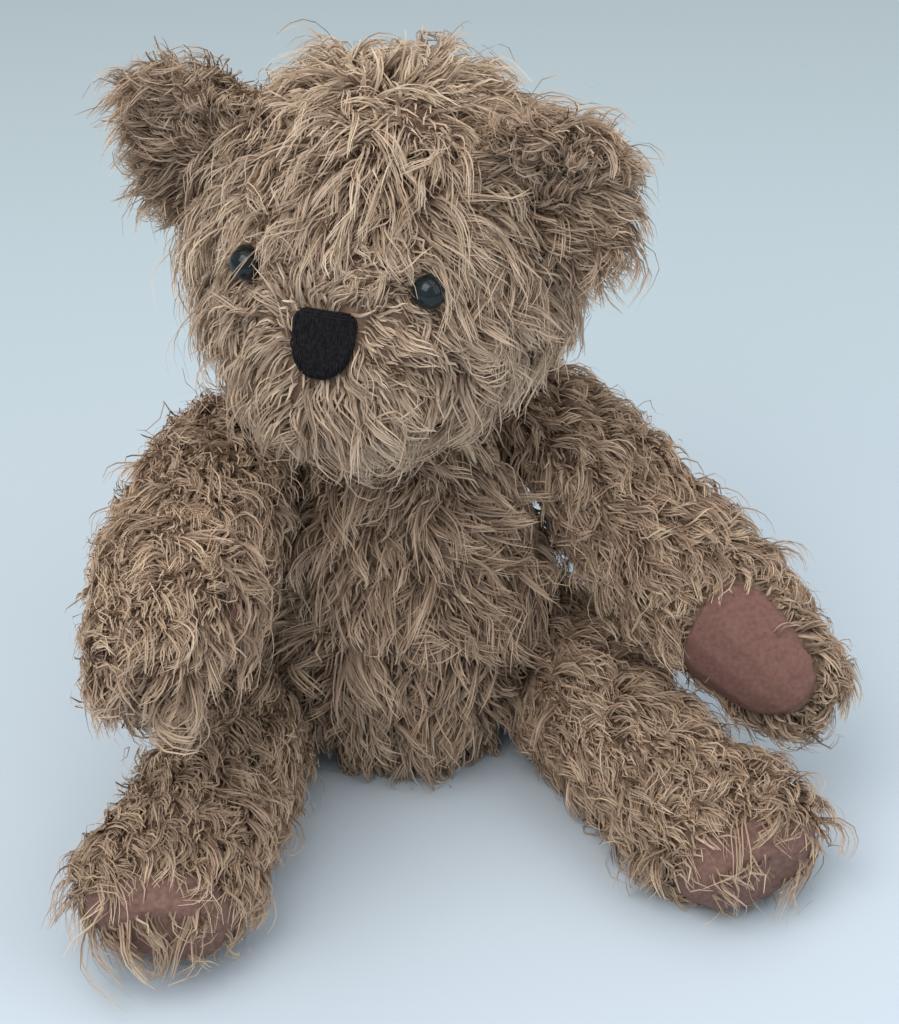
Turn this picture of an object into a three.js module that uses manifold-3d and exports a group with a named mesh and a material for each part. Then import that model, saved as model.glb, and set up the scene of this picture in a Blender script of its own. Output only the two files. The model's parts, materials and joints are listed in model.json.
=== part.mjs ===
// Jointed teddy bear, seated. Millimetres, +Z up, the bear faces -Y and its left side is +X.
// The origin is the middle of the flat seat. Each limb and the head turn on a disc joint:
// a disc and its stem inside the limb, a washer and a lock inside the torso.
import * as THREE from 'three';
import Module from 'manifold-3d';
import { mergeVertices } from 'three/addons/utils/BufferGeometryUtils.js';

// Cloth and gaps
const cloth = 4;
const gap = 0.4;
const seam = 0.4;
const seat = 0.3;

// Torso
const torsoMiddle = 63;
const torsoHalfHeight = 82;
const torsoHalfWidth = 50;
const torsoHalfDepth = 46;
const torsoTaper = 0.12;
const torsoSideSeam = 8;
const neckHeight = 141;

// Head, measured from the neck joint
const headHalfWidth = 58;
const headHalfDepth = 53;
const headHalfHeight = 56;
const headMiddle = 51;
const muzzleReach = 27;
const muzzleSpread = 0.2;
const muzzleDrop = 0.36;
const headTurn = -25;

// Gusset: the strip from the nose over the crown to the nape
const gussetNose = 8;
const gussetCrown = 21;
const gussetNape = 12;

// Ears
const earHalfWidth = 25;
const earHalfHeight = 34;
const earHalfThickness = 7;
const earCup = 8;
const earTilt = 40;
const earTurn = 14;
const earCentre = new THREE.Vector3(47, -10, 77);

// Eyes and nose
const eyeRadius = 5.2;
const eyeProud = 2;
const eyeDirection = new THREE.Vector3(0.49, -0.84, 0.27).normalize();
const eyeStemRadius = 1.5;
const eyeWasherRadius = 3.1;
const noseHalfWidth = 10;
const noseHalfHeight = 10.5;
const noseThickness = 2.4;
const noseHeight = 50;

// Disc joints
const stemRadius = 3.2;
const stemHole = 3.7;
const discThickness = 2.4;
const washerThickness = 1.6;
const lockRadius = 6;
const lockThickness = 3;
const stemPast = 2;

// Arms: the direction of the joint axis, and how far each arm swings forward of hanging
const leftShoulder = { at: [40, 0, 98], up: 27, back: 14, disc: 13.7, washer: 10.5 };
const rightShoulder = { at: [40, 0, 98], up: 27, back: 8, disc: 13.7, washer: 10.5 };
const armLength = 128;
const armTop = 25;
const armLean = 0.17;
const armBend = 6;
const leftArmSwing = 52;
const rightArmSwing = 89;
const leftPawTurn = 26;
const rightPawTurn = 120;
const pawPadReach = 30;
const pawPadTilt = 24;
const pawPadEdge = 15;

// Legs: a swing of 90 lays the leg forward of the seat
const leftHip = { at: [37, -17, 34.5], up: -22, back: 10, disc: 14.5, washer: 11.5 };
const rightHip = { at: [37, -14, 35], up: -22, back: 3, disc: 14.5, washer: 11.5 };
const legLength = 123;
const legTop = 27;
const legLean = 0.2;
const toeReach = 26;
const toeTurn = 58;
const leftLegSwing = 89;
const rightLegSwing = 92;

const wasm = await Module();
wasm.setup();
const degree = Math.PI / 180;
const sideways = new THREE.Vector3(1, 0, 0);
const upright = new THREE.Vector3(0, 0, 1);

function solid(geometry) {
  const plain = geometry.clone();
  plain.deleteAttribute('normal');
  plain.deleteAttribute('uv');
  const merged = mergeVertices(plain, 1e-4);
  const mesh = new wasm.Mesh({
    numProp: 3,
    vertProperties: new Float32Array(merged.attributes.position.array),
    triVerts: new Uint32Array(merged.index.array),
  });
  return new wasm.Manifold(mesh);
}

function geometryOf(body) {
  const mesh = body.getMesh();
  const geometry = new THREE.BufferGeometry();
  geometry.setAttribute('position', new THREE.BufferAttribute(mesh.vertProperties, 3));
  geometry.setIndex(new THREE.BufferAttribute(mesh.triVerts, 1));
  geometry.computeVertexNormals();
  return geometry;
}

function box(x0, x1, y0, y1, z0, z1) {
  const geometry = new THREE.BoxGeometry(x1 - x0, y1 - y0, z1 - z0);
  geometry.translate((x0 + x1) / 2, (y0 + y1) / 2, (z0 + z1) / 2);
  return geometry;
}

// Half-spaces, as boxes far larger than the bear.
const far = 400;
const below = (z) => box(-far, far, -far, far, -far, z);
const leftOf = (x) => box(x, far, -far, far, -far, far);
const rightOf = (x) => box(-far, x, -far, far, -far, far);
const behind = (y) => box(-far, far, y, far, -far, far);
const before = (y) => box(-far, far, -far, y, -far, far);

// A cylinder along +X from x0 to x1.
function rod(radius, x0, x1, around = 20) {
  const geometry = new THREE.CylinderGeometry(radius, radius, x1 - x0, around);
  geometry.rotateZ(-Math.PI / 2);
  geometry.translate((x0 + x1) / 2, 0, 0);
  return geometry;
}

// A washer along +X from x0 to x1.
function ring(outer, inner, x0, x1, around = 20) {
  return solid(rod(outer, x0, x1, around)).subtract(solid(rod(inner, x0 - 1, x1 + 1, around)));
}

// A rounded body: every point of a unit sphere moved by a shape, drawn in by an inset.
function blob(shape, inset, around, along) {
  const geometry = new THREE.SphereGeometry(1, around, along);
  geometry.rotateX(Math.PI / 2);
  const points = geometry.attributes.position;
  const point = new THREE.Vector3();
  for (let i = 0; i < points.count; i += 1) {
    point.fromBufferAttribute(points, i);
    const moved = shape(point, inset);
    points.setXYZ(i, moved.x, moved.y, moved.z);
  }
  return geometry;
}

const mix = THREE.MathUtils.lerp;
const smooth = THREE.MathUtils.smoothstep;

// Cross-section of a rounded body: how full it is at this height, and the way round it.
function section(u, fullness) {
  const reach = Math.hypot(u.x, u.y);
  const along = reach > 1e-6 ? u.x / reach : 0;
  const across = reach > 1e-6 ? u.y / reach : 0;
  return { full: Math.pow(Math.max(reach, 0), fullness), along, across };
}

function torsoShape(u, inset) {
  const { full, along, across } = section(u, 0.64);
  const taper = 1 - torsoTaper * u.z;
  const belly = 5 * (1 - u.z * u.z);
  return new THREE.Vector3(
    (torsoHalfWidth * taper - inset) * full * along,
    (torsoHalfDepth * taper - inset) * full * across - belly,
    torsoMiddle + (torsoHalfHeight - inset) * u.z,
  );
}

const muzzleWay = new THREE.Vector3(0, -1, -muzzleDrop).normalize();

function headShape(u, inset) {
  const cheek = 1 + 0.07 * smooth(-u.z, -0.4, 0.5) * Math.abs(u.x);
  const point = new THREE.Vector3(
    (headHalfWidth * cheek - inset) * u.x,
    (headHalfDepth - inset) * u.y,
    (headHalfHeight - inset) * u.z + headMiddle,
  );
  const off = 1 - u.dot(muzzleWay);
  const push = (muzzleReach - inset * 0.15) * Math.exp(-off / muzzleSpread);
  return point.addScaledVector(muzzleWay, push);
}

// Arms and legs hang along -Z from their joint, and X is the joint axis, outwards.
function armShape(u, inset) {
  const { full, along, across } = section(u, 0.5);
  const t = (1 - u.z) / 2;
  const thick = mix(27, 24, smooth(t, 0.2, 0.9));
  const wide = mix(27, 23, smooth(t, 0.1, 0.6)) + 2 * smooth(t, 0.6, 0.9);
  const bend = armBend * smooth(t, 0.35, 1);
  const z = mix(armTop - inset, -(armLength - inset), t);
  const lean = armLean * Math.max(0, -z);
  return new THREE.Vector3(
    16.5 + (thick - inset) * full * along + lean,
    (wide - inset) * full * across - bend,
    z,
  );
}

function legShape(u, inset) {
  const { full, along, across } = section(u, 0.5);
  const t = (1 - u.z) / 2;
  const thick = mix(26, 20.5, smooth(t, 0.2, 0.75));
  const wide = mix(27, 22, smooth(t, 0.15, 0.75));
  const z = mix(legTop - inset, -(legLength - inset), t);
  const lean = legLean * Math.max(0, -z);
  const toe = new THREE.Vector3(Math.sin(toeTurn * degree), -Math.cos(toeTurn * degree), 0);
  const facing = along * toe.x + across * toe.y;
  const reach = toeReach * smooth(t, 0.5, 0.9) * Math.pow(0.5 + 0.5 * facing, 1.6) * full;
  return new THREE.Vector3(
    16.5 + (thick - inset) * full * along + lean + toe.x * reach,
    (wide - inset) * full * across + toe.y * reach,
    z,
  );
}

// Where a joint sits: X along its axis, outwards, and Z as upright as the axis lets it be.
function jointPlace(joint) {
  const up = joint.up * degree;
  const back = joint.back * degree;
  const out = new THREE.Vector3(
    Math.cos(up) * Math.cos(back),
    Math.cos(up) * Math.sin(back),
    Math.sin(up),
  );
  const z = upright.clone().addScaledVector(out, -out.z).normalize();
  const y = new THREE.Vector3().crossVectors(z, out);
  const place = new THREE.Matrix4().makeBasis(out, y, z);
  return place.setPosition(...joint.at);
}

const mirror = new THREE.Matrix4().makeScale(-1, 1, 1);
const neck = { disc: 15, washer: 13 };
const neckPlace = new THREE.Matrix4().makeBasis(
  upright,
  new THREE.Vector3(0, 1, 0),
  new THREE.Vector3(-1, 0, 0),
).setPosition(0, 0, neckHeight);

const shoulders = { left: leftShoulder, right: rightShoulder };
const hips = { left: leftHip, right: rightHip };
const places = [
  [neck, neckPlace],
  [leftShoulder, jointPlace(leftShoulder)],
  [rightShoulder, mirror.clone().multiply(jointPlace(rightShoulder))],
  [leftHip, jointPlace(leftHip)],
  [rightHip, mirror.clone().multiply(jointPlace(rightHip))],
];

const put = (geometry, place) => solid(geometry).transform(place.elements);

// Hardware of one joint, along +X from the torso's face at x = 0.
const washerAt = -(cloth + gap);
const lockAt = washerAt - washerThickness - gap;
const stemEnd = lockAt - lockThickness - stemPast;
const discAt = seat + cloth + gap;

function discBody(joint) {
  const plate = solid(rod(joint.disc, discAt, discAt + discThickness, 20));
  return plate.add(solid(rod(stemRadius, stemEnd, discAt + 1, 14)));
}

const washerBody = (joint) => ring(joint.washer, stemHole, washerAt - washerThickness, washerAt);
const lockBody = () => ring(lockRadius, stemHole, lockAt - lockThickness, lockAt, 14);

// Torso
let torsoOuter = solid(blob(torsoShape, 0, 20, 12)).subtract(solid(below(0)));
let torsoInner = solid(blob(torsoShape, cloth, 20, 12)).subtract(solid(below(cloth)));
let torsoCore = solid(blob(torsoShape, cloth + gap, 20, 12)).subtract(solid(below(cloth + gap)));
for (const [joint, place] of places) {
  const beyond = (x) => put(leftOf(x), place);
  torsoOuter = torsoOuter.subtract(beyond(0));
  torsoInner = torsoInner.subtract(beyond(-cloth));
  torsoCore = torsoCore.subtract(beyond(-cloth - gap));
  const washerRoom = put(rod(joint.washer + gap, washerAt - washerThickness - gap, 1, 24), place);
  const lockRoom = put(rod(lockRadius + gap, stemEnd - gap, 1, 16), place);
  torsoCore = torsoCore.subtract(washerRoom).subtract(lockRoom);
}
let torsoCloth = torsoOuter.subtract(torsoInner);
for (const [, place] of places) {
  torsoCloth = torsoCloth.subtract(put(rod(stemHole, -cloth - 1, 1, 16), place));
}
const frontEdge = torsoSideSeam - seam / 2;
const backEdge = torsoSideSeam + seam / 2;
const torsoFront = torsoCloth.intersect(solid(before(frontEdge)));
const torsoBack = torsoCloth.intersect(solid(behind(backEdge)));
const torsoBackLeft = torsoBack.intersect(solid(leftOf(seam / 2)));
const torsoBackRight = torsoBack.intersect(solid(rightOf(-seam / 2)));

// Head
const headBlob = (inset) => solid(blob(headShape, inset, 22, 14));
const headFloor = seat;
const headOuter = headBlob(0).subtract(solid(below(headFloor)));
const headInner = headBlob(cloth).subtract(solid(below(headFloor + cloth)));
const headPole = new THREE.Matrix4().makeBasis(
  upright,
  new THREE.Vector3(0, 1, 0),
  new THREE.Vector3(-1, 0, 0),
);
const neckHole = put(rod(stemHole, -1, headFloor + cloth + 1, 16), headPole);

const eyeSurface = headShape(eyeDirection, 0);
const eyeOut = eyeSurface.clone().sub(new THREE.Vector3(0, -6, headMiddle)).normalize();
const eyeTurn = new THREE.Quaternion().setFromUnitVectors(sideways, eyeOut);
const eyePlace = new THREE.Matrix4().compose(eyeSurface, eyeTurn, new THREE.Vector3(1, 1, 1));

function eyeBall(radius) {
  const geometry = new THREE.SphereGeometry(radius, 14, 10);
  geometry.translate(eyeProud, 0, 0);
  return geometry;
}

const eyeStemEnd = -8.5;
const eyeBody = put(eyeBall(eyeRadius), eyePlace)
  .add(put(rod(eyeStemRadius, eyeStemEnd, 0, 12), eyePlace));
const eyeSocket = put(eyeBall(eyeRadius + gap), eyePlace)
  .add(put(rod(eyeStemRadius + gap, -8, 0, 12), eyePlace));
const eyeWasherTop = -(cloth + 1.5);
const eyeWasher = ring(eyeWasherRadius, eyeStemRadius + gap, eyeWasherTop - 1.4, eyeWasherTop, 16)
  .transform(eyePlace.elements);
const eyeRoom = put(rod(eyeWasherRadius + gap, eyeStemEnd - 1, 3, 16), eyePlace);

// The gusset as seen from above: narrow at the nose, wide at the crown, narrow at the nape.
function gussetBlock(grow) {
  const edge = [[-100, gussetNose], [-48, gussetNose + 4], [-8, gussetCrown], [60, gussetNape]];
  const outline = new THREE.Shape();
  outline.moveTo(-edge[0][1] - grow, edge[0][0]);
  for (const [y, half] of edge) {
    outline.lineTo(half + grow, y);
  }
  for (const [y, half] of [...edge].reverse()) {
    outline.lineTo(-half - grow, y);
  }
  const geometry = new THREE.ExtrudeGeometry(outline, { depth: 150, bevelEnabled: false });
  geometry.translate(0, 0, noseHeight - 26 - grow);
  return solid(geometry);
}

// A body made the same on both sides: its left half and the mirror of that half.
function evenSided(body) {
  const half = body.intersect(solid(leftOf(0)));
  return half.add(half.mirror([1, 0, 0]));
}

const headCloth = evenSided(headOuter.subtract(headInner).subtract(neckHole).subtract(eyeSocket));
const headGusset = headCloth.intersect(gussetBlock(0));
const headLeft = headCloth.subtract(gussetBlock(seam)).intersect(solid(leftOf(seam / 2)));
const headDiscRoom = put(rod(neck.disc + gap, 0, discAt + discThickness + gap, 24), headPole);
const headCore = evenSided(headBlob(cloth + gap).subtract(solid(below(headFloor + cloth + gap)))
  .subtract(headDiscRoom).subtract(eyeRoom));

// The nose: close rows of thread over a shield drawn on the tip of the muzzle.
function noseBlock() {
  const outline = new THREE.Shape();
  outline.moveTo(-noseHalfWidth * 0.9, noseHalfHeight);
  outline.lineTo(noseHalfWidth * 0.9, noseHalfHeight);
  outline.quadraticCurveTo(noseHalfWidth * 1.15, noseHalfHeight * 0.7, noseHalfWidth, 0);
  outline.quadraticCurveTo(noseHalfWidth * 0.8, -noseHalfHeight, 0, -noseHalfHeight);
  outline.quadraticCurveTo(-noseHalfWidth * 0.8, -noseHalfHeight, -noseHalfWidth, 0);
  outline.quadraticCurveTo(-noseHalfWidth * 1.15, noseHalfHeight * 0.7,
    -noseHalfWidth * 0.9, noseHalfHeight);
  const geometry = new THREE.ExtrudeGeometry(outline, {
    depth: 60,
    bevelEnabled: false,
    curveSegments: 5,
  });
  geometry.rotateX(Math.PI / 2);
  geometry.translate(0, -50, noseHeight);
  return solid(geometry);
}

const nose = headBlob(-noseThickness - gap).subtract(headBlob(-gap)).intersect(noseBlock());

// Ears: each half is domed on one side and follows the cup of the ear on the other.
function earHalf(side) {
  const shape = (u) => new THREE.Vector3(
    earHalfWidth * u.x,
    side * (seam / 2 + earHalfThickness * Math.max(0, side * u.y))
      - earCup * (u.x * u.x + u.z * u.z),
    earHalfHeight * u.z,
  );
  const geometry = blob(shape, 0, 18, 12);
  geometry.rotateZ(earTurn * degree);
  geometry.rotateY(earTilt * degree);
  geometry.translate(...earCentre.toArray());
  return solid(geometry).subtract(headBlob(-gap));
}

// A skin around a limb, open only where the stem passes.
function limbBodies(shape, joint, around, along) {
  const limb = (inset, face) => solid(blob(shape, inset, around, along))
    .subtract(solid(rightOf(face)));
  const skin = limb(0, seat).subtract(limb(cloth, seat + cloth))
    .subtract(solid(rod(stemHole, -1, seat + cloth + 1, 16)));
  const room = solid(rod(joint.disc + gap, 0, discAt + discThickness + gap, 24));
  const core = limb(cloth + gap, seat + cloth + gap).subtract(room);
  return { skin, core };
}

// A pad is the part of a skin inside a rounded block; the skin keeps a seam's width from it.
function padBlock(halfLength, halfWidth, depth, grow) {
  const geometry = new THREE.CylinderGeometry(1, 1, depth, 20);
  geometry.scale(halfWidth + grow, 1, halfLength + grow);
  return solid(geometry);
}

// A paw pad faces a given turn round the arm: 0 is forward, and more turns towards the body.
// Its edge nearest the shoulder is straight.
const pawMiddle = 16.5 + armLean * (armLength - 32);
function armPad(turn, grow) {
  const facing = new THREE.Matrix4().makeRotationZ(-turn * degree);
  const place = facing.clone().multiply(new THREE.Matrix4().makeRotationY(-pawPadTilt * degree));
  const offset = new THREE.Vector3(0, -pawPadReach, 0).applyMatrix4(facing);
  place.setPosition(pawMiddle + offset.x, offset.y - armBend, 32 - armLength);
  const above = solid(box(-60, 60, -60, 60, pawPadEdge + grow, 90));
  return padBlock(28, 20, 44, grow).subtract(above).transform(place.elements);
}
const arm = limbBodies(armShape, leftShoulder, 14, 10);
const pawPads = {
  left: arm.skin.intersect(armPad(leftPawTurn, 0)),
  right: arm.skin.intersect(armPad(rightPawTurn, 0)),
};
const armCloths = {
  left: arm.skin.subtract(armPad(leftPawTurn, seam)),
  right: arm.skin.subtract(armPad(rightPawTurn, seam)),
};

function legPad(grow) {
  const place = new THREE.Matrix4().makeRotationZ((toeTurn - 90) * degree)
    .multiply(new THREE.Matrix4().makeRotationX(Math.PI / 2))
    .setPosition(16.5 + legLean * legLength + 7.5, -5, -legLength);
  return padBlock(19, 31, 26, grow).transform(place.elements);
}
const leg = limbBodies(legShape, leftHip, 16, 12);
const legPadBody = leg.skin.intersect(legPad(0));
const legCloth = leg.skin.subtract(legPad(seam));

// The seam of a limb runs along its front and back, midway through its thickness.
const limbSeam = 16.5;
const leant = (geometry, lean) => geometry.rotateY(Math.atan(lean));
const outerSide = (body, lean) => body.intersect(solid(leant(leftOf(seam / 2), lean)
  .translate(limbSeam, 0, 0)));
const innerSide = (body, lean) => body.intersect(solid(leant(rightOf(-seam / 2), lean)
  .translate(limbSeam, 0, 0)));

// Colours and finishes
const looks = {
  plush: { color: 0x9b8069, roughness: 0.95, metalness: 0 },
  headPlush: { color: 0xb49a82, roughness: 0.95, metalness: 0 },
  stuffing: { color: 0xe9e4da, roughness: 1, metalness: 0 },
  suede: { color: 0x8c665d, roughness: 0.85, metalness: 0 },
  thread: { color: 0x17161a, roughness: 0.6, metalness: 0 },
  eye: { color: 0x10181b, roughness: 0.12, metalness: 0 },
  plastic: { color: 0xe6e6e2, roughness: 0.5, metalness: 0 },
};

function piece(name, body, look) {
  const mesh = new THREE.Mesh(geometryOf(body), new THREE.MeshStandardMaterial(looks[look]));
  mesh.name = name;
  return mesh;
}

const bear = new THREE.Group();
bear.name = 'jointed_teddy_bear';

const torso = new THREE.Group();
torso.name = 'torso';
torso.add(
  piece('torso_front_panel', torsoFront, 'plush'),
  piece('torso_back_left_panel', torsoBackLeft, 'plush'),
  piece('torso_back_right_panel', torsoBackRight, 'plush'),
  piece('torso_stuffing', torsoCore, 'stuffing'),
  piece('neck_washer', washerBody(neck).transform(neckPlace.elements), 'plastic'),
);
bear.add(torso);

const head = new THREE.Group();
head.name = 'head';
head.position.z = neckHeight;
head.rotation.z = headTurn * degree;
head.add(
  piece('head_gusset', headGusset, 'headPlush'),
  piece('head_stuffing', headCore, 'stuffing'),
  piece('nose_embroidery', nose, 'thread'),
  piece('neck_disc', discBody(neck).transform(headPole.elements), 'plastic'),
  piece('neck_lock', lockBody().transform(headPole.elements), 'plastic'),
);
for (const side of ['left', 'right']) {
  const half = new THREE.Group();
  half.scale.x = side === 'left' ? 1 : -1;
  half.add(
    piece(`head_${side}_panel`, headLeft, 'headPlush'),
    piece(`${side}_ear_front`, earHalf(-1), 'headPlush'),
    piece(`${side}_ear_back`, earHalf(1), 'headPlush'),
    piece(`${side}_eye`, eyeBody, 'eye'),
    piece(`${side}_eye_washer`, eyeWasher, 'plastic'),
  );
  head.add(half);
}
bear.add(head);

// One limb on its joint, swung forward of hanging about the joint's own axis.
function limb(name, place, swing, pieces) {
  const group = new THREE.Group();
  group.name = name;
  group.applyMatrix4(place);
  const turned = new THREE.Group();
  turned.rotation.x = -swing * degree;
  turned.add(...pieces);
  group.add(turned);
  return group;
}

for (const side of ['left', 'right']) {
  const half = new THREE.Group();
  half.name = `${side}_limbs`;
  half.scale.x = side === 'left' ? 1 : -1;
  const shoulder = shoulders[side];
  const hip = hips[side];
  const joints = { shoulder, hip };
  for (const [name, joint] of Object.entries(joints)) {
    const place = jointPlace(joint);
    half.add(piece(`${side}_${name}_washer`, washerBody(joint).transform(place.elements), 'plastic'));
  }
  const armSwing = side === 'left' ? leftArmSwing : rightArmSwing;
  half.add(limb(`${side}_arm`, jointPlace(shoulder), armSwing, [
    piece(`${side}_arm_outer_panel`, outerSide(armCloths[side], armLean), 'plush'),
    piece(`${side}_arm_inner_panel`, innerSide(armCloths[side], armLean), 'plush'),
    piece(`${side}_paw_pad`, pawPads[side], 'suede'),
    piece(`${side}_arm_stuffing`, arm.core, 'stuffing'),
    piece(`${side}_shoulder_disc`, discBody(shoulder), 'plastic'),
    piece(`${side}_shoulder_lock`, lockBody(), 'plastic'),
  ]));
  const legSwing = side === 'left' ? leftLegSwing : rightLegSwing;
  half.add(limb(`${side}_leg`, jointPlace(hip), legSwing, [
    piece(`${side}_leg_outer_panel`, outerSide(legCloth, legLean), 'plush'),
    piece(`${side}_leg_inner_panel`, innerSide(legCloth, legLean), 'plush'),
    piece(`${side}_foot_pad`, legPadBody, 'suede'),
    piece(`${side}_leg_stuffing`, leg.core, 'stuffing'),
    piece(`${side}_hip_disc`, discBody(hip), 'plastic'),
    piece(`${side}_hip_lock`, lockBody(), 'plastic'),
  ]));
  bear.add(half);
}

export default bear;
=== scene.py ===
"""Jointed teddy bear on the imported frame.

Plush skins under a long curly pile, suede pads, a stitched nose and glossy eyes.
"""

import json
import math

import bpy
import numpy as np
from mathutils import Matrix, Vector
from mathutils.bvhtree import BVHTree


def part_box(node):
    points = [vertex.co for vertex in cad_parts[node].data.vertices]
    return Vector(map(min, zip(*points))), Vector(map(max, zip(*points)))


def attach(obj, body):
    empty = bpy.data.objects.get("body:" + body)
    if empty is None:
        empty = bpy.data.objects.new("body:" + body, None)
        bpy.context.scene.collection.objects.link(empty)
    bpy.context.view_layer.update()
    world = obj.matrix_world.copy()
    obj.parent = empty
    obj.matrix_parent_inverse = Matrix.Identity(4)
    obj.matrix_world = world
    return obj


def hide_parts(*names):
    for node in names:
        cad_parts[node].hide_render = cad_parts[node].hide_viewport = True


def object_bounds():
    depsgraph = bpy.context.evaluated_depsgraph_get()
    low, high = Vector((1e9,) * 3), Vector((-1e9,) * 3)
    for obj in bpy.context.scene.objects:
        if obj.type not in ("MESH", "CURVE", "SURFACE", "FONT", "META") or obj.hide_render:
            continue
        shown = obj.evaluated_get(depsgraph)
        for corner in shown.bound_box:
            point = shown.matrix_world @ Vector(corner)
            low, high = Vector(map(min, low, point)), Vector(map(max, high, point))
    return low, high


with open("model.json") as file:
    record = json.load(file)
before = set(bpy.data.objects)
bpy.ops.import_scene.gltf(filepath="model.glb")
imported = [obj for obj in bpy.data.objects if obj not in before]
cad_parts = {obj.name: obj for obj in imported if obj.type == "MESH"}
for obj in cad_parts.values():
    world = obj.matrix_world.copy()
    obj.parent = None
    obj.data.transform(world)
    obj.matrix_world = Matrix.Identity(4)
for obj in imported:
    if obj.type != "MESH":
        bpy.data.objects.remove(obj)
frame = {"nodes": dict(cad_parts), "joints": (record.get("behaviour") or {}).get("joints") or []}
start_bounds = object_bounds()
nodes = frame["nodes"]
joints = {j["name"]: j for j in frame["joints"]}
scene = bpy.context.scene
rng = np.random.default_rng(7)
MM = 0.001
DOWN = np.array([0, 0, -1.0])
UPWARD = np.array([0, 0, 1.0])


# ---------------------------------------------------------------- camera, light and floor
CAMERA_TARGET = Vector((0.014, -0.036, 0.108))
CAMERA_AZIMUTH = math.radians(-8)
CAMERA_ELEVATION = math.radians(36)
CAMERA_DISTANCE = 0.78
VIEW_HEIGHT = 0.336
SENSOR = 36
LIGHT_TARGET = Vector((0, 0, 0.1))
SKY_COLOUR = (0.82, 0.93, 1.0, 1)
SKY_STRENGTH = 0.56
FLOOR_REACH = 30


def aim(thing, way):
    """Turns the camera or a lamp so that it looks along a way, with its top upwards."""
    thing.rotation_mode = "QUATERNION"
    thing.rotation_quaternion = way.to_track_quat("-Z", "Y")


camera = bpy.data.objects.new("camera", bpy.data.cameras.new("camera"))
scene.collection.objects.link(camera)
bpy.context.scene.camera = camera
camera.data.sensor_width = SENSOR
camera.data.lens = SENSOR * CAMERA_DISTANCE / VIEW_HEIGHT
level = math.cos(CAMERA_ELEVATION)
camera_back = Vector((
    math.sin(CAMERA_AZIMUTH) * level,
    -math.cos(CAMERA_AZIMUTH) * level,
    math.sin(CAMERA_ELEVATION),
))
camera.location = CAMERA_TARGET + camera_back * CAMERA_DISTANCE
aim(camera, -camera_back)

scene.view_settings.view_transform = "Standard"
world = bpy.data.worlds.new("studio")
scene.world = world
world.use_nodes = True
world.node_tree.nodes["Background"].inputs["Color"].default_value = SKY_COLOUR
world.node_tree.nodes["Background"].inputs["Strength"].default_value = SKY_STRENGTH


def area_light(name, place, size, power, colour):
    """A square lamp that faces the bear: its size in metres and its power in watts."""
    data = bpy.data.lights.new(name, "AREA")
    data.shape = "SQUARE"
    data.size = size
    data.energy = power
    data.color = colour
    lamp = bpy.data.objects.new(name, data)
    lamp.location = place
    aim(lamp, LIGHT_TARGET - Vector(place))
    scene.collection.objects.link(lamp)


area_light("overhead", (0.0, 0.2, 2.4), 3.0, 30.0, (1.0, 1.0, 1.0))
area_light("key", (-0.7, -0.6, 1.5), 1.2, 15.0, (1.0, 0.985, 0.96))
area_light("fill", (1.1, -0.7, 0.9), 1.2, 5.0, (0.95, 0.98, 1.0))


# ---------------------------------------------------------------- materials
FIRST_STOP = 0.3
STOP_SPAN = 0.4


def node_material(name, roughness, specular=0.3):
    """A material with its node tree and its Principled shader."""
    material = bpy.data.materials.new(name)
    material.use_nodes = True
    tree = material.node_tree
    shader = tree.nodes["Principled BSDF"]
    shader.inputs["Roughness"].default_value = roughness
    shader.inputs["Specular IOR Level"].default_value = specular
    return material, tree, shader


def ramp(tree, stops, source):
    """Turns a value into a colour by (place, colour) stops."""
    made = tree.nodes.new("ShaderNodeValToRGB")
    elements = made.color_ramp.elements
    while len(elements) < len(stops):
        elements.new(0.5)
    for element, (place, colour) in zip(elements, stops):
        element.position = place
        element.color = (*colour, 1)
    tree.links.new(source, made.inputs["Fac"])
    return made.outputs["Color"]


def noise(tree, scale, detail=3.0, roughness=0.55):
    place = tree.nodes.new("ShaderNodeTexCoord")
    made = tree.nodes.new("ShaderNodeTexNoise")
    made.inputs["Scale"].default_value = scale
    made.inputs["Detail"].default_value = detail
    made.inputs["Roughness"].default_value = roughness
    tree.links.new(place.outputs["Object"], made.inputs["Vector"])
    return made.outputs["Fac"]


def bump(tree, shader, height, strength, distance):
    made = tree.nodes.new("ShaderNodeBump")
    made.inputs["Strength"].default_value = strength
    made.inputs["Distance"].default_value = distance
    tree.links.new(height, made.inputs["Height"])
    tree.links.new(made.outputs["Normal"], shader.inputs["Normal"])


def mottled(name, colours, scale, roughness, bumps=None, specular=0.3):
    """Colour that wanders between tones. Bumps are a noise scale, a strength and a depth in metres."""
    material, tree, shader = node_material(name, roughness, specular)
    gaps = len(colours) - 1
    stops = [(FIRST_STOP + STOP_SPAN * i / gaps, colour) for i, colour in enumerate(colours)]
    tree.links.new(ramp(tree, stops, noise(tree, scale)), shader.inputs["Base Color"])
    if bumps:
        fine_scale, strength, depth = bumps
        bump(tree, shader, noise(tree, fine_scale, 5.0), strength, depth)
    return material


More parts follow.
